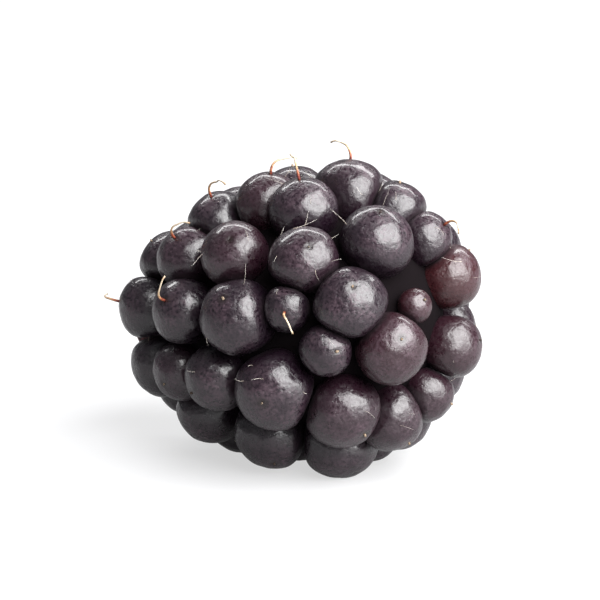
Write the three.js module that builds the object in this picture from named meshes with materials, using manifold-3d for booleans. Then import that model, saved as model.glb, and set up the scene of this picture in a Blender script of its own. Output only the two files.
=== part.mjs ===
// Bramble berry: one ripe bramble fruit lying on its side, with a few dried styles still on it.
// Millimetres, +Z up. The fruit's axis runs along X: blunt tip at +X, stem end at -X.
// -Y is the best side. The origin is under the middle of the fruit, on the resting surface.
import * as THREE from 'three';
import { ConvexHull } from 'three/addons/math/ConvexHull.js';
import { mergeVertices } from 'three/addons/utils/BufferGeometryUtils.js';
import Module from 'manifold-3d';

const wasm = await Module();
wasm.setup();

// ---------- Fruit form: the egg on which the middles of the drupelets sit ----------
const HALF_LENGTH = 11.7;   // along the axis
const HALF_WIDTH = 8.6;     // across it, at the middle
const FULLNESS = 0.17;      // wider towards the tip, narrower towards the stem end
const TIP_LIFT = 8;         // degrees the tip is raised as the fruit lies

// ---------- Drupelets ----------
// Rings from the tip to the stem end. Each drupelet is [angle, shift, diameter]: the angle in
// degrees from straight up towards -Y, the shift in mm from the ring's own station.
const RINGS = [
  { station: 11.0, drupelets: [[218, 0, 4.4], [62, 0.2, 2.3]] },
  { station: 9.9, drupelets: [
    [-58, 0.8, 4.6], [-26, -0.3, 4.0], [102, 0.2, 5.0], [184, -0.4, 3.9], [250, -1.6, 4.2]] },
  { station: 7.9, drupelets: [
    [24, 0.8, 5.0], [70, 0.3, 5.2], [94, -1.2, 3.6], [132, -1.6, 5.2], [160, 0, 4.8],
    [194, -1.8, 4.6], [226, -0.8, 4.8], [262, -1.0, 4.8], [298, -0.6, 4.8], [340, -0.4, 4.6]] },
  { station: 3.6, drupelets: [
    [-10, 1.0, 5.4], [18, -0.4, 4.7], [50, 1.4, 4.8], [73, 0.6, 3.2], [112, -1.2, 5.6],
    [162, 0.2, 5.6], [196, -0.6, 5.6], [229, 0, 5.0], [262, -0.4, 5.0], [294, 0, 5.0],
    [324, 0.4, 4.8]] },
  { station: -0.8, drupelets: [
    [8, 0.2, 4.6], [46, 0, 4.6], [77, 1.2, 5.3], [108, -1.6, 4.6], [148, 0.3, 5.2],
    [180, -0.4, 4.3], [212, -0.6, 5.0], [244, -0.6, 5.0], [276, -0.6, 5.0], [308, -0.4, 5.0],
    [340, 0, 4.8]] },
  { station: -5.0, drupelets: [
    [14, 0.6, 4.6], [40, -0.6, 4.6], [73, 0, 4.6], [112, -1.4, 4.2], [148, -0.9, 5.0],
    [178, -0.4, 5.6], [208, -0.6, 5.0], [240, -0.8, 5.0], [272, -0.8, 5.0], [306, -0.6, 5.0],
    [340, -0.4, 4.8]] },
  { station: -9.0, drupelets: [
    [22, 0, 4.4], [66, -0.8, 4.8], [122, -0.3, 4.8], [166, -0.2, 4.6], [206, 0, 4.6],
    [248, 0, 4.8], [292, 0, 4.8], [336, 0, 4.6]] },
];
const SWELL_OUT = 1.06;       // how far a drupelet bulges outwards, against its radius
const SWELL_SIDE = 1.1;       // how far it would spread sideways if nothing pressed on it
const PRESS_SHARE = 1.03;     // how far it pushes into the plane between it and a neighbour
const PRESS_POWER = 7;        // higher gives flatter pressed sides and sharper shoulders
const PIT_DEPTH = 0.5;        // the creases never go deeper than this under the form
const CREASE_STEP = 0.95;     // spacing of the points along a crease
const DOME_ROWS = [0.34, 0.62, 0.82, 0.93];   // rows from a drupelet's top to its crease

// ---------- Scar: the pale pith left where the fruit was pulled off its stalk ----------
const SCAR_DIAMETER = 5.6;
const SCAR_SWELL = 0.55;      // nearly flat: it bulges this much of its radius

// ---------- Dried styles: limp threads still rooted on some drupelets ----------
// Each is [ring, drupelet's angle, lean, length]: the lean in degrees from towards the tip
const STYLES = [
  [5, 40, 10, 2.4], [5, 73, 60, 2.0], [5, 14, -20, 3.0], [3, 18, 130, 2.6], [4, 8, 35, 2.2],
  [6, 66, 160, 2.6], [3, 73, -60, 1.8], [1, -26, -30, 2.6], [3, -10, 170, 2.4],
  [4, 276, 150, 2.8], [2, 262, 80, 2.4], [5, 306, -120, 2.6],
];
const STYLE_THICKNESS = 0.2;
const STYLE_GAP = 0.35;       // from the skin to the root of the thread
const STYLE_OFFSET = 0.3;     // how far off the top of its drupelet it is rooted, as a slope
const STYLE_ARCH = [[0, 0], [0.16, 0.14], [0.24, 0.5], [0.12, 0.85]];   // [up, over] per length

// ---------- Colours ----------
const SKIN_COLOR = 0x1c1520;  // black-purple skin
const STYLE_COLOR = 0xb87a45; // straw-brown

// ---------- Resting on a surface ----------
const REST_FLAT = 0.35;       // how much the lowest drupelet is flattened under the weight

const rad = THREE.MathUtils.degToRad;

// From a direction on the unit sphere to the point and the outward normal on the fruit form
function onForm(dir) {
  const width = HALF_WIDTH * (1 + FULLNESS * dir.x);
  return new THREE.Vector3(HALF_LENGTH * dir.x, width * dir.y, width * dir.z);
}

function formNormal(dir) {
  return dir.clone().divide(new THREE.Vector3(HALF_LENGTH, HALF_WIDTH, HALF_WIDTH)).normalize();
}

// Every bead of the fruit: its direction on the unit sphere, middle, outward axis and radius
function bead(dir, diameter, swell) {
  return { dir, centre: onForm(dir), out: formNormal(dir), radius: diameter / 2, swell };
}

function layBeads() {
  const beads = [];
  for (const ring of RINGS) {
    for (const [angle, shift, diameter] of ring.drupelets) {
      const along = (ring.station + shift) / HALF_LENGTH;
      const across = Math.sqrt(1 - along * along);
      const dir = new THREE.Vector3(
        along, -across * Math.sin(rad(angle)), across * Math.cos(rad(angle)));
      beads.push(bead(dir, diameter, SWELL_OUT));
    }
  }
  beads.push(bead(new THREE.Vector3(-1, 0, 0), SCAR_DIAMETER, SCAR_SWELL));
  return beads;
}

// A drupelet swells until it meets its neighbours; where two meet, both are pressed flatter.
// Returns how far its skin is from its middle, in the given direction.
function skinDistance(one, dir) {
  const lift = dir.dot(one.out);
  const side = Math.sqrt(Math.max(0, 1 - lift * lift)) / SWELL_SIDE;
  let sum = Math.pow(Math.hypot(side, lift / one.swell) / one.radius, PRESS_POWER);
  for (const press of one.presses) sum += Math.pow(Math.max(0, dir.dot(press)), PRESS_POWER);
  return Math.pow(sum, -1 / PRESS_POWER);
}

function addPresses(beads) {
  for (const one of beads) {
    one.presses = [];
    for (const other of beads) {
      const away = other.centre.clone().sub(one.centre);
      const gap = away.length();
      const reach = one.radius + other.radius;
      if (other === one || gap > 1.5 * reach) continue;
      one.presses.push(away.divideScalar(gap * PRESS_SHARE * gap * one.radius / reach));
    }
  }
}

// The point of the fruit's surface in a direction: the outermost skin of the beads given,
// found by dropping along the form's normal until one is met
function skinPoint(dir, beads) {
  const foot = onForm(dir);
  const normal = formNormal(dir);
  let height = -PIT_DEPTH;
  for (const one of beads) {
    let low = height;
    let high = Math.max(height, one.radius * 1.1);
    for (let step = 0; step < 24; step++) {
      const middle = (low + high) / 2;
      const arm = foot.clone().addScaledVector(normal, middle).sub(one.centre);
      const distance = arm.length();
      if (distance > skinDistance(one, arm.divideScalar(distance))) high = middle;
      else low = middle;
    }
    height = low;
  }
  return foot.addScaledVector(normal, height);
}

// The hull of the bead directions says which beads touch: each of its faces is a corner where
// three meet. Filed as "bead, next bead" to the corner that follows going round the bead.
function meetingCorners(beads) {
  const points = beads.map((one) => one.dir.clone().divideScalar(Math.cos(one.radius / 10)));
  const idOf = new Map(points.map((point, id) => [point, id]));
  const corners = new Map();
  for (const face of new ConvexHull().setFromPoints(points).faces) {
    const ids = [0, 1, 2].map((i) => idOf.get(face.getEdge(i).head().point));
    const corner = { dir: face.normal.clone().normalize(), ids };
    ids.forEach((id, i) => corners.set(`${id},${ids[(i + 1) % 3]}`, corner));
  }
  return corners;
}

// The crease all the way round one bead, as { dir, point }, from corner to corner
function creaseAround(id, beads, corners) {
  const sorted = (ids) => [...ids].sort((a, b) => a - b).map((i) => beads[i]);
  const start = Number([...corners.keys()].find((key) => key.startsWith(`${id},`)).split(',')[1]);
  const crease = [];
  let next = start;
  do {
    const corner = corners.get(`${id},${next}`);
    const other = corner.ids.find((i) => i !== id && i !== next);
    const following = corners.get(`${id},${other}`);
    crease.push({ dir: corner.dir, point: skinPoint(corner.dir, sorted(corner.ids)) });
    const span = onForm(corner.dir).distanceTo(onForm(following.dir));
    const pieces = Math.max(1, Math.round(span / CREASE_STEP));
    for (let i = 1; i < pieces; i++) {
      const dir = corner.dir.clone().lerp(following.dir, i / pieces).normalize();
      crease.push({ dir, point: skinPoint(dir, sorted([id, other])) });
    }
    next = other;
  } while (next !== start);
  return crease;
}

// The closed skin: one domed patch for each bead, neighbours sharing the crease between them
function fruitSkin(beads) {
  const corners = meetingCorners(beads);
  const triangles = [];
  beads.forEach((one, id) => {
    const top = skinPoint(one.dir, [one]);
    const lines = creaseAround(id, beads, corners).map(({ dir, point }) => {
      const rows = DOME_ROWS.map((row) => one.dir.clone().lerp(dir, row).normalize());
      return [top, ...rows.map((rowDir) => skinPoint(rowDir, [one])), point];
    });
    lines.forEach((left, i) => {
      const right = lines[(i + 1) % lines.length];
      triangles.push(left[0], left[1], right[1]);
      for (let row = 1; row < left.length - 1; row++) {
        triangles.push(left[row], left[row + 1], right[row + 1]);
        triangles.push(left[row], right[row + 1], right[row]);
      }
    });
  });
  return new THREE.BufferGeometry().setFromPoints(triangles).rotateY(-rad(TIP_LIFT));
}

// three.js geometry to a closed manifold solid, and back to a plain geometry
function toSolid(geometry) {
  const plain = geometry.clone();
  plain.deleteAttribute('normal');
  plain.deleteAttribute('uv');
  const welded = mergeVertices(plain, 1e-4);
  return new wasm.Manifold(new wasm.Mesh({
    numProp: 3,
    vertProperties: new Float32Array(welded.attributes.position.array),
    triVerts: new Uint32Array(welded.index.array),
  }));
}

function toGeometry(solid) {
  const mesh = solid.getMesh();
  const geometry = new THREE.BufferGeometry();
  geometry.setAttribute('position', new THREE.BufferAttribute(mesh.vertProperties, 3));
  geometry.setIndex(new THREE.BufferAttribute(mesh.triVerts, 1));
  geometry.computeVertexNormals();
  return geometry;
}

// ---------- The fruit, pressed flat where it rests ----------
const beads = layBeads();
addPresses(beads);
let fruit = toSolid(fruitSkin(beads));
const floorLevel = fruit.boundingBox().min[2] + REST_FLAT;
const floorBlock = new THREE.BoxGeometry(60, 60, 10);
floorBlock.translate(0, 0, floorLevel - 5);
fruit = fruit.subtract(toSolid(floorBlock));

// ---------- Dried styles ----------
// A limp thread: it stands up from its drupelet, then arches over the way it leans
function styleGeometry(one, lean, length) {
  const tipward = new THREE.Vector3(1, 0, 0).projectOnPlane(one.out).normalize();
  const aside = one.out.clone().cross(tipward);
  const over = tipward.multiplyScalar(Math.cos(rad(lean))).addScaledVector(aside, Math.sin(rad(lean)));
  const root = one.out.clone().addScaledVector(over, STYLE_OFFSET).normalize();
  root.multiplyScalar(skinDistance(one, root) + STYLE_GAP).add(one.centre);
  const path = STYLE_ARCH.map(([up, out]) => root.clone()
    .addScaledVector(one.out, up * length).addScaledVector(over, out * length));
  const section = new THREE.Shape().absarc(0, 0, STYLE_THICKNESS / 2, 0, 2 * Math.PI);
  const thread = new THREE.ExtrudeGeometry(section, {
    steps: 8, curveSegments: 4, bevelEnabled: false, extrudePath: new THREE.CatmullRomCurve3(path),
  });
  return thread.rotateY(-rad(TIP_LIFT));
}

const group = new THREE.Group();
group.name = 'bramble_berry';

function addMesh(name, geometry, color, roughness) {
  const material = new THREE.MeshStandardMaterial({ color, roughness, metalness: 0 });
  const mesh = new THREE.Mesh(geometry, material);
  mesh.name = name;
  group.add(mesh);
}

addMesh('berry', toGeometry(fruit), SKIN_COLOR, 0.35);
STYLES.forEach(([ring, angle, lean, length], i) => {
  const place = RINGS[ring].drupelets.findIndex((drupelet) => drupelet[0] === angle);
  const before = RINGS.slice(0, ring).reduce((sum, { drupelets }) => sum + drupelets.length, 0);
  const name = `dried_style_${String(i + 1).padStart(2, '0')}`;
  addMesh(name, styleGeometry(beads[before + place], lean, length), STYLE_COLOR, 0.8);
});

// The whole part is centred over the origin, standing on z = 0
const middle = new THREE.Box3().setFromObject(group).getCenter(new THREE.Vector3());
group.children.forEach((mesh) => mesh.geometry.translate(-middle.x, -middle.y, -floorLevel));

export default group;
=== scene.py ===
import math

import bmesh
import bpy
import numpy as np
from mathutils import Matrix, Vector, kdtree, noise


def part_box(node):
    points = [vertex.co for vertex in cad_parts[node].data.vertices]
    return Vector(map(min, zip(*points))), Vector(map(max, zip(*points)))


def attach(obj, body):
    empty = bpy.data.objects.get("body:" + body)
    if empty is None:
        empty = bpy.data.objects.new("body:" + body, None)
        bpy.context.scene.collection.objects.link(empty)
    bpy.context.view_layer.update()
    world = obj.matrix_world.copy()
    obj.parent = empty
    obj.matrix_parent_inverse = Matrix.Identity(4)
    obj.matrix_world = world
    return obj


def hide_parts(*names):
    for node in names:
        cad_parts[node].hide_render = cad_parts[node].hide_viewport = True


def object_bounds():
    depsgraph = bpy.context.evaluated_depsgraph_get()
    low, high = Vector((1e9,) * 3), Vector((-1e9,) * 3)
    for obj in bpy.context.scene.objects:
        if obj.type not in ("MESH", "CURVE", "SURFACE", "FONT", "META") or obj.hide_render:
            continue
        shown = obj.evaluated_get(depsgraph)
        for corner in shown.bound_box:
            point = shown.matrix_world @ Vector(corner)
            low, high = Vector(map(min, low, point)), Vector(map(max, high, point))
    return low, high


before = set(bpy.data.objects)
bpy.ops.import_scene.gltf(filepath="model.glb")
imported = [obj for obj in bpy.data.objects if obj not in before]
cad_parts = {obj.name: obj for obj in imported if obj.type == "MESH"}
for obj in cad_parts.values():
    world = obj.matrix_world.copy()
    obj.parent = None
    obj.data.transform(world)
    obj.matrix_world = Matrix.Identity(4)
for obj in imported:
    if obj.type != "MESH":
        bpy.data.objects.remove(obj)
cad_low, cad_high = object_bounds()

# ------------------------------------------------------------------ camera
# Looks slightly down on the fruit from its front right, from far enough away that it is hardly
# foreshortened.
scene = bpy.context.scene
middle = (cad_low + cad_high) / 2
VIEW_AZIMUTH, VIEW_ELEVATION = math.radians(30), math.radians(15)
CAMERA_DISTANCE, CAMERA_LENS, CAMERA_CLIP = 0.36, 300, (0.01, 10)
camera_data = bpy.data.cameras.new("camera")
camera_data.lens = CAMERA_LENS
camera_data.clip_start, camera_data.clip_end = CAMERA_CLIP
camera = bpy.data.objects.new("camera", camera_data)
towards_camera = Vector((
    math.sin(VIEW_AZIMUTH) * math.cos(VIEW_ELEVATION),
    -math.cos(VIEW_AZIMUTH) * math.cos(VIEW_ELEVATION),
    math.sin(VIEW_ELEVATION)))
camera.location = middle + towards_camera * CAMERA_DISTANCE
camera.rotation_euler = towards_camera.to_track_quat("Z", "Y").to_euler()
scene.collection.objects.link(camera)
scene.camera = camera
scene.view_settings.view_transform = "Standard"

# ------------------------------------------------------------------ light
# A white studio: dim panels in front and on the left, a brighter one on the right, the main light
# high on the right, and a thin one behind that draws a line along the top of every drupelet. Each
# is (name, azimuth, elevation, distance, width, height, radiance), in degrees and metres.
PANELS = (
    ("front_panel", 36, 14, 0.30, 0.32, 0.25, 0.30),
    ("left_panel", -30, 34, 0.30, 0.32, 0.42, 0.10),
    ("right_panel", 86, 34, 0.30, 0.36, 0.42, 4.2),
    ("key_panel", 76, 42, 0.30, 0.40, 0.32, 7.0),
    ("back_panel", 205, 46, 0.30, 0.50, 0.04, 13.0))
for name, azimuth, elevation, distance, width, height, radiance in PANELS:
    light_data = bpy.data.lights.new(name, "AREA")
    light_data.shape = "RECTANGLE"
    light_data.size, light_data.size_y = width, height
    light_data.energy = radiance * math.pi * width * height
    light = bpy.data.objects.new(name, light_data)
    a, e = math.radians(azimuth), math.radians(elevation)
    side = Vector((math.sin(a) * math.cos(e), -math.cos(a) * math.cos(e), math.sin(e)))
    light.location = middle + side * distance
    light.rotation_euler = side.to_track_quat("Z", "Y").to_euler()
    scene.collection.objects.link(light)

# The room is dim for the light it throws, and plain white where the camera sees it
ROOM_TINT, ROOM_LIGHT, ROOM_SEEN = (0.92, 0.94, 1.0, 1), 0.16, 1.0
world = bpy.data.worlds.new("studio")
world.use_nodes = True
scene.world = world
world_nodes, world_links = world.node_tree.nodes, world.node_tree.links
dim = world_nodes["Background"]
dim.inputs["Color"].default_value = ROOM_TINT
dim.inputs["Strength"].default_value = ROOM_LIGHT
white = world_nodes.new("ShaderNodeBackground")
white.inputs["Color"].default_value = (1, 1, 1, 1)
white.inputs["Strength"].default_value = ROOM_SEEN
seen = world_nodes.new("ShaderNodeLightPath")
choose = world_nodes.new("ShaderNodeMixShader")
world_links.new(seen.outputs["Is Camera Ray"], choose.inputs["Fac"])
world_links.new(dim.outputs["Background"], choose.inputs[1])
world_links.new(white.outputs["Background"], choose.inputs[2])
world_links.new(choose.outputs["Shader"], world_nodes["World Output"].inputs["Surface"])

# ------------------------------------------------------------------ floor
# A plain white table top, which the fruit lies on. It throws less light than it shows, as the
# room does.
FLOOR_HALF, FLOOR_COLOUR, FLOOR_ROUGHNESS = 0.6, (0.24, 0.24, 0.245, 1), 0.75
GLOW_THROWN, GLOW_SEEN = 0.08, 0.60
floor_mesh = bpy.data.meshes.new("floor")
shape = bmesh.new()
bmesh.ops.create_grid(shape, x_segments=1, y_segments=1, size=FLOOR_HALF)
shape.to_mesh(floor_mesh)
shape.free()
floor = bpy.data.objects.new("floor", floor_mesh)
scene.collection.objects.link(floor)
floor_look = bpy.data.materials.new("white_table")
floor_look.use_nodes = True
floor_nodes, floor_links = floor_look.node_tree.nodes, floor_look.node_tree.links
floor_surface = floor_nodes["Principled BSDF"]
floor_surface.inputs["Base Color"].default_value = FLOOR_COLOUR
floor_surface.inputs["Roughness"].default_value = FLOOR_ROUGHNESS
floor_surface.inputs["Emission Color"].default_value = (1, 1, 1, 1)
seen = floor_nodes.new("ShaderNodeLightPath")
glow = floor_nodes.new("ShaderNodeMapRange")
glow.inputs["To Min"].default_value = GLOW_THROWN
glow.inputs["To Max"].default_value = GLOW_SEEN
floor_links.new(seen.outputs["Is Camera Ray"], glow.inputs["Value"])
floor_links.new(glow.outputs["Result"], floor_surface.inputs["Emission Strength"])
floor_mesh.materials.append(floor_look)

# ------------------------------------------------------------------ berry skin
# The fruit: thin-skinned juicy drupelets grown together round a pale core. Each one swells until
# it meets its neighbours, and where two meet both are pressed flatter, with a deep crease between.
MM = 0.001

# Lengths are in mm and angles in degrees: the egg-shaped form that the middles of the drupelets
# sit on, then rings of (station, drupelets) from the tip to the stem end, each drupelet being
# (angle from the top, shift along the fruit, diameter).
HALF_LENGTH, HALF_WIDTH, FULLNESS, TIP_LIFT = 11.7, 8.6, 0.17, math.radians(8)
RINGS = (
    (11.0, ((218, 0, 4.4), (62, 0.2, 2.3))),
    (9.9, ((-58, 0.8, 4.6), (-26, -0.3, 4.0), (102, 0.2, 5.0), (184, -0.4, 3.9),
           (250, -1.6, 4.2))),
    (7.9, ((24, 0.8, 5.0), (70, 0.3, 5.2), (94, -1.2, 3.6), (132, -1.6, 5.2), (160, 0, 4.8),
           (194, -1.8, 4.6), (226, -0.8, 4.8), (262, -1.0, 4.8), (298, -0.6, 4.8),
           (340, -0.4, 4.6))),
    (3.6, ((-10, 1.0, 5.4), (18, -0.4, 4.7), (50, 1.4, 4.8), (73, 0.6, 3.2), (112, -1.2, 5.6),
           (162, 0.2, 5.6), (196, -0.6, 5.6), (229, 0, 5.0), (262, -0.4, 5.0), (294, 0, 5.0),
           (324, 0.4, 4.8))),
    (-0.8, ((8, 0.2, 4.6), (46, 0, 4.6), (77, 1.2, 5.3), (108, -1.6, 4.6), (148, 0.3, 5.2),
            (180, -0.4, 4.3), (212, -0.6, 5.0), (244, -0.6, 5.0), (276, -0.6, 5.0),
            (308, -0.4, 5.0), (340, 0, 4.8))),
    (-5.0, ((14, 0.6, 4.6), (40, -0.6, 4.6), (73, 0, 4.6), (112, -1.4, 4.2), (148, -0.9, 5.0),
            (178, -0.4, 5.6), (208, -0.6, 5.0), (240, -0.8, 5.0), (272, -0.8, 5.0),
            (306, -0.6, 5.0), (340, -0.4, 4.8))),
    (-9.0, ((22, 0, 4.4), (66, -0.8, 4.8), (122, -0.3, 4.8), (166, -0.2, 4.6), (206, 0, 4.6),
            (248, 0, 4.8), (292, 0, 4.8), (336, 0, 4.6))),
)
SCAR_DIAMETER, SCAR_SWELL = 5.6, 0.55
SWELL_OUT, SWELL_SIDE = 1.06, 1.10
PRESS_SHARE, PRESS_POWER, PRESS_REACH = 1.03, 7, 1.5
SEED = 7
chance = np.random.default_rng(SEED)
noise.seed_set(SEED)
tip_up = np.array(Matrix.Rotation(-TIP_LIFT, 3, "Y"))

directions, sizes, labels = [], [], []
for ring_number, (station, drupelets) in enumerate(RINGS):
    for angle, shift, diameter in drupelets:
        along = (station + shift) / HALF_LENGTH
        across = math.sqrt(1 - along * along)
        turn = math.radians(angle)
        directions.append((along, -across * math.sin(turn), across * math.cos(turn)))
        sizes.append(diameter / 2)
        labels.append((ring_number, angle))
directions.append((-1, 0, 0))
sizes.append(SCAR_DIAMETER / 2)
labels.append("stem scar")
directions, sizes = np.array(directions), np.array(sizes)
swells = np.full(len(sizes), SWELL_OUT)
swells[-1] = SCAR_SWELL
form = np.array((HALF_LENGTH, HALF_WIDTH, HALF_WIDTH))
widths = 1 + FULLNESS * directions[:, :1]
centres = directions * form * np.hstack((np.ones_like(widths), widths, widths))
outs = directions / form
outs /= np.linalg.norm(outs, axis=1, keepdims=True)
centres, outs = centres @ tip_up.T, outs @ tip_up.T

# How each drupelet is pressed by every neighbour, as vectors towards them
presses = []
for one in range(len(sizes)):
    away = centres - centres[one]
    gap = np.linalg.norm(away, axis=1)
    reach = sizes + sizes[one]
    near = (gap > 0) & (gap < PRESS_REACH * reach)
    share = PRESS_SHARE * gap[near] * sizes[one] / reach[near]
    presses.append(away[near] / (gap[near] * share)[:, None])


def skin_distance(one, way):
    """How far a drupelet's skin is from its middle, in mm, for unit directions."""
    lift = way @ outs[one]
    flat = np.sqrt(np.clip(1 - lift * lift, 0, None)) / SWELL_SIDE
    total = (np.hypot(flat, lift / swells[one]) / sizes[one]) ** PRESS_POWER
    total += (np.clip(way @ presses[one].T, 0, None) ** PRESS_POWER).sum(axis=1)
    return total ** (-1 / PRESS_POWER)


# Every drupelet grew from one flower part, so it has one style, or the dimple where one was,
# a little off its top. A dried style leans the given way; (ring, angle): (lean, length). A bare
# dimple lies on the upper side of the drupelet, give or take.
STYLES = {
    (5, 40): (10, 2.4), (5, 73): (60, 2.0), (5, 14): (-20, 3.0), (3, 18): (130, 2.6),
    (4, 8): (35, 2.2), (6, 66): (160, 2.6), (3, 73): (-60, 1.8), (1, -26): (-30, 2.6),
    (3, -10): (170, 2.4), (4, 276): (150, 2.8), (2, 262): (80, 2.4), (5, 306): (-120, 2.6),
}
STYLE_OFFSET, DIMPLE_OFFSET, DIMPLE_SPREAD, DIMPLE_TURN = 0.3, 0.42, (0.4, 1.4), 0.9
tip_axis = tip_up[:, 0]
style_ways, style_overs = [], []
for one, label in enumerate(labels):
    tipward = tip_axis - outs[one] * (tip_axis @ outs[one])
    tipward /= max(np.linalg.norm(tipward), 1e-6)
    aside = np.cross(outs[one], tipward)
    upward = math.atan2(aside[2], tipward[2])
    turn = math.radians(STYLES[label][0]) if label in STYLES else chance.normal(upward, DIMPLE_TURN)
    over = math.cos(turn) * tipward + math.sin(turn) * aside
    offset = STYLE_OFFSET if label in STYLES else DIMPLE_OFFSET * chance.uniform(*DIMPLE_SPREAD)
    way = outs[one] + over * offset
    style_ways.append(way / np.linalg.norm(way))
    style_overs.append(over)

# One closed shell for each drupelet, each a little uneven and dented, and one for the core.
# Bumps are shares of the drupelet's radius: OFTEN is how close together they come, and STEP
# gives every drupelet a pattern of its own.
BALL_STEPS, CORE_SINK = 5, 0.85
UNEVEN, UNEVEN_OFTEN, UNEVEN_STEP = 0.028, 1.4, 7.1
DENTED, DENTED_OFTEN, DENTED_STEP = 0.012, 4.2, 5.3
DIMPLE, DIMPLE_WIDTH = 0.035, 0.08
ball = bmesh.new()
bmesh.ops.create_icosphere(ball, subdivisions=BALL_STEPS, radius=1)
ways = np.array([v.co for v in ball.verts])
ways /= np.linalg.norm(ways, axis=1, keepdims=True)
shells = []
for one in range(len(sizes) - 1):
    uneven_at, dented_at = Vector((one * UNEVEN_STEP, 0, 0)), Vector((0, one * DENTED_STEP, 0))
    bumps = np.array([
        UNEVEN * noise.noise(Vector(way) * UNEVEN_OFTEN + uneven_at)
        + DENTED * noise.noise(Vector(way) * DENTED_OFTEN + dented_at) for way in ways])
    from_style = np.linalg.norm(ways - style_ways[one], axis=1)
    bumps -= DIMPLE * np.exp(-(from_style / DIMPLE_WIDTH) ** 2)
    shells.append(centres[one] + ways * (skin_distance(one, ways) * (1 + bumps))[:, None])
core = ways * (form - CORE_SINK)
core[:, 1:] *= 1 + FULLNESS * ways[:, :1]
shells.append(core @ tip_up.T)

# They are moved to where the frame has the fruit, with the two tops level
all_points = np.vstack(shells)
berry_low, berry_high = (np.array(corner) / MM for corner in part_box("berry"))
shift = (berry_low + berry_high) / 2 - (all_points.min(axis=0) + all_points.max(axis=0)) / 2
shift[2] = berry_high[2] - all_points[:, 2].max()
centres = centres + shift

# The shells are joined into one skin, one at a time
skin = None
for points in shells:
    for vert, point in zip(ball.verts, (points + shift) * MM):
        vert.co = point
    mesh = bpy.data.meshes.new("shell")
    ball.to_mesh(mesh)
    shell = bpy.data.objects.new("shell", mesh)
    scene.collection.objects.link(shell)
    if skin is None:
        skin = shell
        continue
    join = skin.modifiers.new("join", "BOOLEAN")
    join.operation, join.solver, join.object = "UNION", "MANIFOLD", shell
    graph = bpy.context.evaluated_depsgraph_get()
    joined = bpy.data.meshes.new_from_object(skin.evaluated_get(graph))
    skin.modifiers.clear()
    skin.data = joined
    bpy.data.objects.remove(shell)
ball.free()
skin.name = skin.data.name = "berry_skin"

# Only the outer skin is kept, without the closed gaps deep between the drupelets, and thinned
THINNED, CREASE_ANGLE = 0.7, math.radians(38)
outer = bmesh.new()
outer.from_mesh(skin.data)
reached = {max(outer.verts, key=lambda vert: vert.co.z)}
edge_of_reach = list(reached)
while edge_of_reach:
    found = {edge.other_vert(vert) for vert in edge_of_reach for edge in vert.link_edges}
    edge_of_reach = list(found - reached)
    reached |= found
bmesh.ops.delete(outer, geom=[vert for vert in outer.verts if vert not in reached])
outer.to_mesh(skin.data)
outer.free()
thin = skin.modifiers.new("thin", "DECIMATE")
thin.ratio = THINNED
graph = bpy.context.evaluated_depsgraph_get()
thinned = bpy.data.meshes.new_from_object(skin.evaluated_get(graph))
skin.modifiers.clear()
skin.data = thinned
skin.data.name = "berry_skin"
skin.data.shade_smooth()
skin.data.set_sharp_from_angle(angle=CREASE_ANGLE)

# What each point of the skin is: whose it is, how near a crease, its top, and the style's dimple
FAR, CLOSE = 9.0, 2.2
CREASE_WIDTH, CREASE_FALL, STAIN_WIDTH = 0.24, 1.5, 0.16
points = np.array([v.co for v in skin.data.vertices]) / MM
ratios = np.full((len(points), len(sizes) - 1), FAR)
for one in range(len(sizes) - 1):
    arm = points - centres[one]
    length = np.linalg.norm(arm, axis=1)
    close = np.flatnonzero((length < CLOSE * sizes[one]) & (length > 0))
    way = arm[close] / length[close, None]
    ratios[close, one] = length[close] / skin_distance(one, way)
owner = ratios.argmin(axis=1)
ordered = np.sort(ratios, axis=1)
creases = np.clip(1 - (ordered[:, 1] - ordered[:, 0]) / CREASE_WIDTH, 0, 1) ** CREASE_FALL
arm = points - centres[owner]
arm /= np.linalg.norm(arm, axis=1, keepdims=True)
lifts = (arm * outs[owner]).sum(axis=1)
stains = np.exp(-(np.linalg.norm(arm - np.array(style_ways)[owner], axis=1) / STAIN_WIDTH) ** 2)

# How red each drupelet is: the named ones, and a draw for the others
TINTS = {(1, -58): 0.95, (1, 102): 0.72, (0, 218): 0.66, (1, -26): 0.4, (2, 132): 0.5,
         (4, 46): 0.55, (3, 18): 0.35, (4, 8): 0.6, (6, 66): 0.1, (5, 73): 0.1, (4, 77): 0.15,
         (1, 184): 0.55, (2, 160): 0.5, (0, 62): 0.8}
MOST_TINT = 0.45
tints = chance.uniform(0.0, MOST_TINT, len(sizes))
for label, tint in TINTS.items():
    tints[labels.index(label)] = tint
for name, values in (("tint", tints[owner]), ("crease", creases), ("lift", lifts),
                     ("stain", stains)):
    layer = skin.data.attributes.new(name, "FLOAT", "POINT")
    layer.data.foreach_set("value", values.astype(np.float32))

# Its look: black-purple skin, wine-red on some drupelets, with a grey mottled bloom on the
# exposed tops that is partly painted sheen, finely grained, and a lighter grey painted into
# the creases as painted fill light, where they are rougher and lose the coat. Grains are in
# mm, ramps are (value, colour) stops, and each range is (from low, from high, to low, to high).
FLESH = ((0, (0.0062, 0.0030, 0.0058, 1)), (0.35, (0.0085, 0.0034, 0.0072, 1)),
         (0.7, (0.018, 0.0050, 0.0085, 1)), (1, (0.032, 0.0066, 0.0080, 1)))
# The bloom colour is partly painted sheen: a lighter grey for the exposed tops
BLOOM_AND_SHEEN, STAIN = (0.078, 0.045, 0.060, 1), (0.006, 0.0022, 0.0018, 1)
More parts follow.
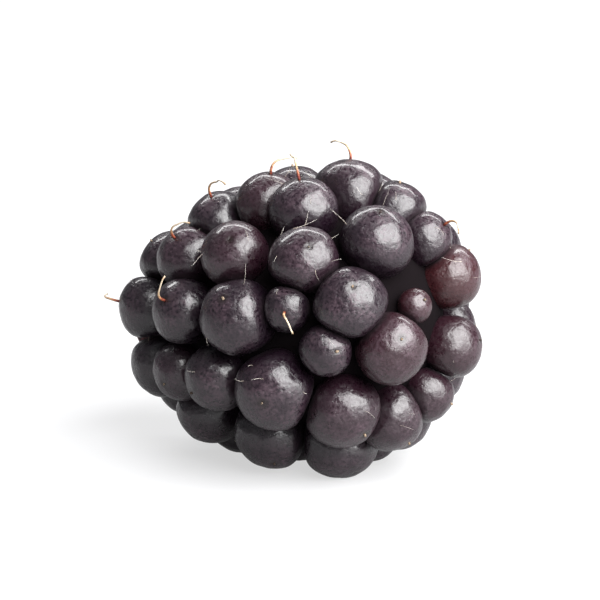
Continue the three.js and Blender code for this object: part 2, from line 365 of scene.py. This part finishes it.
# The crease colour is painted fill light, lighter than the skin. The core colour is painted shade
# for the pits
CREASE_PAINTED_FILL, CORE_PAINTED_SHADE = (0.030, 0.020, 0.0245, 1), (0.0042, 0.0028, 0.0034, 1)
FINE, SPECKLE, WRINKLE, PATCH = (0.13, 2), (0.22, 3), (0.6, 3), (1.7, 4)
EXPOSED, PATCHED = (0.2, 0.8, 0.0, 1.0), (0.40, 0.62, 0.25, 1.0)
SPECKLED, STAINED = (0.36, 0.66, 0.03, 0.62), (0.15, 0.9, 0.0, 0.9)
SKIN_ROUGH, CREASE_ROUGH = (0.38, 0.62, 0.26, 0.46), (0.0, 1.0, 0.0, 0.35)
GLOSS, GLOSS_ROUGH = (0.0, 0.6, 0.45, 0.0), 0.07
WRINKLE_HEIGHT, SPECKLE_HEIGHT, FINE_HEIGHT = 0.12, 0.034, 0.012


def begin_material(name):
    """A new material, with its nodes, its links and its surface shader."""
    material = bpy.data.materials.new(name)
    material.use_nodes = True
    tree = material.node_tree
    return material, tree.nodes, tree.links, tree.nodes["Principled BSDF"]


def stored(name):
    """The value that a point of the mesh carries."""
    node = nodes.new("ShaderNodeAttribute")
    node.attribute_name = name
    return node.outputs["Fac"]


def grained(size_mm, detail):
    """A noise of the given grain, fixed to the piece."""
    place = nodes.new("ShaderNodeTexCoord")
    node = nodes.new("ShaderNodeTexNoise")
    node.inputs["Scale"].default_value = 1 / (size_mm * MM)
    node.inputs["Detail"].default_value = detail
    links.new(place.outputs["Object"], node.inputs["Vector"])
    return node.outputs["Fac"]


def ranged(source, low, high, to_low, to_high):
    """The source mapped from low..high to to_low..to_high."""
    node = nodes.new("ShaderNodeMapRange")
    for socket, value in zip(("From Min", "From Max", "To Min", "To Max"),
                             (low, high, to_low, to_high)):
        node.inputs[socket].default_value = value
    links.new(source, node.inputs["Value"])
    return node.outputs["Result"]


def maths(operation, first, second):
    """Two values added or multiplied."""
    node = nodes.new("ShaderNodeMath")
    node.operation = operation
    links.new(first, node.inputs[0])
    links.new(second, node.inputs[1])
    return node.outputs["Value"]


def ramped(source, stops):
    """The source turned into a colour, by stops from 0 to 1."""
    node = nodes.new("ShaderNodeValToRGB")
    elements = node.color_ramp.elements
    elements[0].color, elements[1].color = stops[0][1], stops[-1][1]
    for spot, colour in stops[1:-1]:
        elements.new(spot).color = colour
    links.new(source, node.inputs["Fac"])
    return node.outputs["Color"]


def blended(factor, under, over_colour):
    """A colour laid over another."""
    node = nodes.new("ShaderNodeMix")
    node.data_type = "RGBA"
    node.inputs["B"].default_value = over_colour
    links.new(factor, node.inputs["Factor"])
    links.new(under, node.inputs["A"])
    return node.outputs["Result"]


def raised(height, height_mm, strength=1.0, under=None):
    """The surface raised by a noise, on top of what has raised it already."""
    node = nodes.new("ShaderNodeBump")
    node.inputs["Strength"].default_value = strength
    node.inputs["Distance"].default_value = height_mm * MM
    links.new(height, node.inputs["Height"])
    if under:
        links.new(under, node.inputs["Normal"])
    return node.outputs["Normal"]


look, nodes, links, bsdf = begin_material("berry_skin")
skin.data.materials.clear()
skin.data.materials.append(look)
fine, speckle = grained(*FINE), grained(*SPECKLE)
wrinkle, patch, crease = grained(*WRINKLE), grained(*PATCH), stored("crease")
# Bloom and painted sheen: a lighter grey on each drupelet's outer face, fading off its sides
bloom_and_sheen = maths("MULTIPLY", ranged(stored("lift"), *EXPOSED), ranged(patch, *PATCHED))
bloom_and_sheen = maths("MULTIPLY", bloom_and_sheen, ranged(speckle, *SPECKLED))
with_bloom_and_sheen = blended(bloom_and_sheen, ramped(stored("tint"), FLESH), BLOOM_AND_SHEEN)
stained = blended(ranged(stored("stain"), *STAINED), with_bloom_and_sheen, STAIN)
# Painted fill light: near the creases the colour turns a lighter grey, lifting their shade
links.new(blended(crease, stained, CREASE_PAINTED_FILL), bsdf.inputs["Base Color"])
rough = maths("ADD", ranged(speckle, *SKIN_ROUGH), ranged(crease, *CREASE_ROUGH))
links.new(rough, bsdf.inputs["Roughness"])
links.new(ranged(crease, *GLOSS), bsdf.inputs["Coat Weight"])
bsdf.inputs["Coat Roughness"].default_value = GLOSS_ROUGH
bump = raised(wrinkle, WRINKLE_HEIGHT)
bump = raised(speckle, SPECKLE_HEIGHT, under=bump)
bump = raised(fine, FINE_HEIGHT, under=bump)
links.new(bump, bsdf.inputs["Normal"])

# The core, seen only at the bottom of the pits between drupelets, and painted near-black there as
# painted shade
CORE_ROUGH, CORE_SHINE, CORE_MATCH = 0.9, 0.05, 0.006
core_shade_look, _, _, bsdf = begin_material("core_painted_shade")
# Painted shade: the pale core gets a near-black colour where it shows in the pits
bsdf.inputs["Base Color"].default_value = CORE_PAINTED_SHADE
bsdf.inputs["Roughness"].default_value = CORE_ROUGH
bsdf.inputs["Specular IOR Level"].default_value = CORE_SHINE
skin.data.materials.append(core_shade_look)
level = (points - shift) @ tip_up
level /= form - CORE_SINK
level[:, 1:] /= 1 + FULLNESS * level[:, :1]
on_core = np.abs(np.linalg.norm(level, axis=1) - 1) < CORE_MATCH
for face in skin.data.polygons:
    face.material_index = int(all(on_core[i] for i in face.vertices))

# It is pressed flat where it rests
for vert in skin.data.vertices:
    vert.co.z = max(vert.co.z, 0)
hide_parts("berry")
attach(skin, "root")

# ------------------------------------------------------------------ stem scar
# The pale pith of the core, torn across where the fruit was pulled off its stalk: soft spongy
# tissue with a hollow in the middle, stained by juice round its rim. It fills the hole in the
# last ring of drupelets, and is one piece with the core.
SCAR_STEPS, SCAR_FIT, SCAR_FACE = 5, 0.97, 0.95
SCAR_TORN, TORN_COARSE, TORN_FINE, TORN_SHARE = 0.16, 1.7, 5.1, 0.7
HOLLOW, HOLLOW_WIDTH = 0.45, 0.9
PITH = ((0, (0.16, 0.10, 0.04, 1)), (0.2, (0.36, 0.29, 0.15, 1)),
        (0.55, (0.50, 0.41, 0.24, 1)), (0.8, (0.20, 0.045, 0.05, 1)),
        (1, (0.018, 0.003, 0.006, 1)))
PITH_FIBRES, PITH_HEIGHT = (0.35, 4), 0.12
PITH_RAGGED, PITH_ROUGH = (0.3, 0.7, -0.12, 0.12), (0.3, 0.7, 0.5, 0.8)
scar_out = outs[-1]
plug = bmesh.new()
bmesh.ops.create_icosphere(plug, subdivisions=SCAR_STEPS, radius=1)
ways = np.array([v.co for v in plug.verts])
ways /= np.linalg.norm(ways, axis=1, keepdims=True)
swollen = ways * skin_distance(len(sizes) - 1, ways)[:, None] * SCAR_FIT
heights = swollen @ scar_out
flats = swollen - np.outer(heights, scar_out)
from_middle = np.linalg.norm(flats, axis=1)
torn = np.array([
    noise.noise(Vector(flat) * TORN_COARSE) + TORN_SHARE * noise.noise(Vector(flat) * TORN_FINE)
    for flat in flats])
faces = SCAR_FACE + SCAR_TORN * torn - HOLLOW * np.exp(-(from_middle / HOLLOW_WIDTH) ** 2)
heights = np.minimum(heights, faces)
for vert, point in zip(plug.verts, (centres[-1] + flats + np.outer(heights, scar_out)) * MM):
    vert.co = point
scar_mesh = bpy.data.meshes.new("stem_scar")
plug.to_mesh(scar_mesh)
plug.free()
scar_mesh.shade_smooth()
scar = bpy.data.objects.new("stem_scar", scar_mesh)
scene.collection.objects.link(scar)
layer = scar_mesh.attributes.new("rim", "FLOAT", "POINT")
layer.data.foreach_set("value", (from_middle / sizes[-1]).astype(np.float32))

scar_look, nodes, links, bsdf = begin_material("torn_pith")
scar_mesh.materials.append(scar_look)
fibres = grained(*PITH_FIBRES)
ragged = maths("ADD", stored("rim"), ranged(fibres, *PITH_RAGGED))
links.new(ramped(ragged, PITH), bsdf.inputs["Base Color"])
links.new(ranged(fibres, *PITH_ROUGH), bsdf.inputs["Roughness"])
links.new(raised(fibres, PITH_HEIGHT), bsdf.inputs["Normal"])
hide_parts("berry")
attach(scar, "root")

# ------------------------------------------------------------------ style stubs
# Short stubs of dried brown fibre where a style broke off, one in the dimple of most of the
# other drupelets. Each is a ragged little tube that is still rooted in the skin.
STUBBED, STUB_RADIUS, STUB_TIP, STUB_HEIGHT, STUB_SIDES, STUB_CLEAR = 0.8, 0.11, 0.07, 0.24, 9, 0.8
STUB_LEAN, STUB_SIZES, STUB_STANDS = 0.25, (0.7, 1.15), 0.25
STUB_WALL, STUB_BORE, RAGGED, RAGGED_OFTEN = 0.035, 0.05, 0.02, 9
HUSK, STUB_ROUGH = ((0, (0.016, 0.006, 0.005, 1)), (1, (0.26, 0.19, 0.13, 1))), 0.7
stubs = bmesh.new()
stub_tone = stubs.verts.layers.float.new("tone")
for one, label in enumerate(labels[:-1]):
    if label in STYLES or chance.uniform() > STUBBED:
        continue
    way = style_ways[one]
    foot = centres[one] + way * skin_distance(one, way[None])[0] * (1 - DIMPLE)
    if foot[2] < STUB_CLEAR:
        continue
    lean = Vector(way + chance.normal(0, STUB_LEAN, 3)).normalized()
    size = chance.uniform(*STUB_SIZES)
    stand = (Matrix.Translation((Vector(foot) + lean * STUB_HEIGHT * STUB_STANDS) * MM)
             @ lean.to_track_quat("Z", "Y").to_matrix().to_4x4() @ Matrix.Scale(size * MM, 4))
    made = bmesh.ops.create_cone(
        stubs, cap_ends=True, segments=STUB_SIDES, radius1=STUB_RADIUS, radius2=STUB_TIP,
        depth=STUB_HEIGHT, matrix=stand)["verts"]
    top = max({face for vert in made for face in vert.link_faces},
              key=lambda face: face.calc_center_median().dot(lean))
    bmesh.ops.inset_individual(stubs, faces=[top], thickness=STUB_WALL * MM,
                                depth=-STUB_BORE * MM)
    tone = chance.uniform()
    for vert in {vert for face in [top, *(f for v in made for f in v.link_faces)]
                 for vert in face.verts}:
        vert.co += noise.noise_vector(vert.co / MM * RAGGED_OFTEN) * RAGGED * MM
        vert[stub_tone] = tone
stub_mesh = bpy.data.meshes.new("style_stubs")
stubs.to_mesh(stub_mesh)
stubs.free()
stub_mesh.shade_smooth()
style_stubs = bpy.data.objects.new("style_stubs", stub_mesh)
scene.collection.objects.link(style_stubs)

stub_look, nodes, links, bsdf = begin_material("dried_stub")
stub_mesh.materials.append(stub_look)
links.new(ramped(stored("tone"), HUSK), bsdf.inputs["Base Color"])
bsdf.inputs["Roughness"].default_value = STUB_ROUGH
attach(style_stubs, "root")

# ------------------------------------------------------------------ dried styles
# Limp threads left from the flower, each still rooted in its drupelet: dry plant fibre, crimson
# where it leaves the skin, orange and then straw-pale towards its slightly swollen tip.
STYLE_GAP, STYLE_ROOTED = 0.35, 0.12
STYLE_ARCH = ((0.16, 0.14), (0.24, 0.5), (0.12, 0.85))
STYLE_POINTS, STYLE_WAVER, WAVER_OFTEN = 16, 0.10, 1.1
STYLE_RADII = (0.11, 0.09, 0.075, 0.065, 0.055, 0.07)
FIBRE = ((0, (0.11, 0.008, 0.006, 1)), (0.14, (0.26, 0.065, 0.024, 1)),
         (0.34, (0.44, 0.28, 0.15, 1)), (0.75, (0.64, 0.56, 0.43, 1)),
         (1, (0.28, 0.18, 0.10, 1)))
STYLE_GRAIN, STYLE_STREAKS, STYLE_ROUGH = (0.2, 2), (0.3, 0.7, -0.12, 0.12), 0.6
STYLE_BUMP, STYLE_BUMP_HEIGHT = 0.8, 0.015
CAP_WELD = 0.0001


def threads_of(name, paths, radii):
    """Closed tapered tubes along the paths, in mm, with how far along each point is."""
    curve = bpy.data.curves.new(name, "CURVE")
    curve.dimensions = "3D"
    curve.bevel_depth, curve.bevel_resolution, curve.use_fill_caps = MM, 1, True
    for path in paths:
        spline = curve.splines.new("POLY")
        spline.points.add(len(path) - 1)
        steps = np.linspace(0, 1, len(path))
        thick = np.interp(steps, np.linspace(0, 1, len(radii)), radii)
        for point, where, radius in zip(spline.points, path, thick):
            point.co = (*(where * MM), 1)
            point.radius = radius
    holder = bpy.data.objects.new(name, curve)
    scene.collection.objects.link(holder)
    graph = bpy.context.evaluated_depsgraph_get()
    mesh = bpy.data.meshes.new_from_object(holder.evaluated_get(graph))
    bpy.data.objects.remove(holder)
    mesh.name = name
    closed = bmesh.new()
    closed.from_mesh(mesh)
    bmesh.ops.remove_doubles(closed, verts=closed.verts, dist=CAP_WELD * MM)
    closed.to_mesh(mesh)
    closed.free()
    mesh.shade_smooth()
    along = np.tile(np.linspace(0, 1, len(paths[0])), len(paths))
    tree = kdtree.KDTree(len(along))
    for number, where in enumerate(np.vstack(paths) * MM):
        tree.insert(where, number)
    tree.balance()
    layer = mesh.attributes.new("along", "FLOAT", "POINT")
    for vert, value in zip(mesh.vertices, layer.data):
        value.value = along[tree.find(vert.co)[1]]
    thread = bpy.data.objects.new(name, mesh)
    scene.collection.objects.link(thread)
    return thread


style_look, nodes, links, bsdf = begin_material("dried_style")
fibres = grained(*STYLE_GRAIN)
streaked = maths("ADD", stored("along"), ranged(fibres, *STYLE_STREAKS))
links.new(ramped(streaked, FIBRE), bsdf.inputs["Base Color"])
bsdf.inputs["Roughness"].default_value = STYLE_ROUGH
links.new(raised(fibres, STYLE_BUMP_HEIGHT, STYLE_BUMP), bsdf.inputs["Normal"])

for number, (label, (_, length)) in enumerate(STYLES.items(), 1):
    one = labels.index(label)
    out, over, way = outs[one], style_overs[one], style_ways[one]
    root = centres[one] + way * skin_distance(one, way[None])[0]
    knots = [root - way * STYLE_ROOTED]
    knots += [root + way * STYLE_GAP + (out * up + over * along_over) * length
              for up, along_over in STYLE_ARCH]
    spans = np.linalg.norm(np.diff(knots, axis=0), axis=1)
    stops = np.concatenate(([0], spans.cumsum())) / spans.sum()
    steps = np.linspace(0, 1, STYLE_POINTS)
    path = np.vander(steps, 4) @ np.polyfit(stops, np.array(knots), 3)
    waver = np.array([noise.noise_vector(Vector(point) * WAVER_OFTEN) for point in path])
    path += waver * STYLE_WAVER * steps[:, None] * length
    thread = threads_of(f"style_thread_{number:02d}", [path], STYLE_RADII)
    thread.data.materials.append(style_look)
    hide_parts(f"dried_style_{number:02d}")
    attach(thread, "root")

# ------------------------------------------------------------------ hairs
# Fine pale down, shed by the flower's base and by other fruits and caught on the skin: most of
# it stands on the upper drupelets, where it shows along the fruit's edge.
HAIRS, HAIR_POINTS, HAIR_CLEAR = 110, 7, 0.3
HAIR_RADII = (0.012, 0.010, 0.008, 0.005)
HAIR_LENGTHS, HAIR_ROOTED, HAIR_SPREAD = (0.4, 1.3), 0.06, 0.8
HAIR_LEAN, HAIR_BEND, HAIR_CURL, HAIR_RISE = 0.7, 0.5, 0.6, 0.1
OFF_TOP, FACING_UP = (0.1, 0.82), (-0.6, 0.9)
DOWN, HAIR_ROUGH = ((0, (0.50, 0.42, 0.34, 1)), (1, (0.76, 0.72, 0.66, 1))), 0.45
room = sizes[:-1] ** 3 / (sizes[:-1] ** 3).sum()
paths = []
while len(paths) < HAIRS:
    one = int(chance.choice(len(sizes) - 1, p=room))
    way = outs[one] + chance.normal(0, HAIR_SPREAD, 3)
    way /= np.linalg.norm(way)
    if not OFF_TOP[0] < way @ outs[one] < OFF_TOP[1] or way[2] < chance.uniform(*FACING_UP):
        continue
    foot = centres[one] + way * skin_distance(one, way[None])[0]
    start = way + chance.normal(0, HAIR_LEAN, 3)
    bend = chance.normal(0, HAIR_BEND, 3)
    length = chance.uniform(*HAIR_LENGTHS)
    steps = np.linspace(-HAIR_ROOTED, 1, HAIR_POINTS)[:, None]
    start /= np.linalg.norm(start)
    path = foot + length * (
        start * steps + bend * steps ** 2 * HAIR_CURL + way * HAIR_RISE * steps)
    if path[:, 2].min() > HAIR_CLEAR:
        paths.append(path)
hairs = threads_of("skin_hairs", paths, HAIR_RADII)
hair_look, nodes, links, bsdf = begin_material("pale_down")
links.new(ramped(stored("along"), DOWN), bsdf.inputs["Base Color"])
bsdf.inputs["Roughness"].default_value = HAIR_ROUGH
hairs.data.materials.append(hair_look)
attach(hairs, "root")
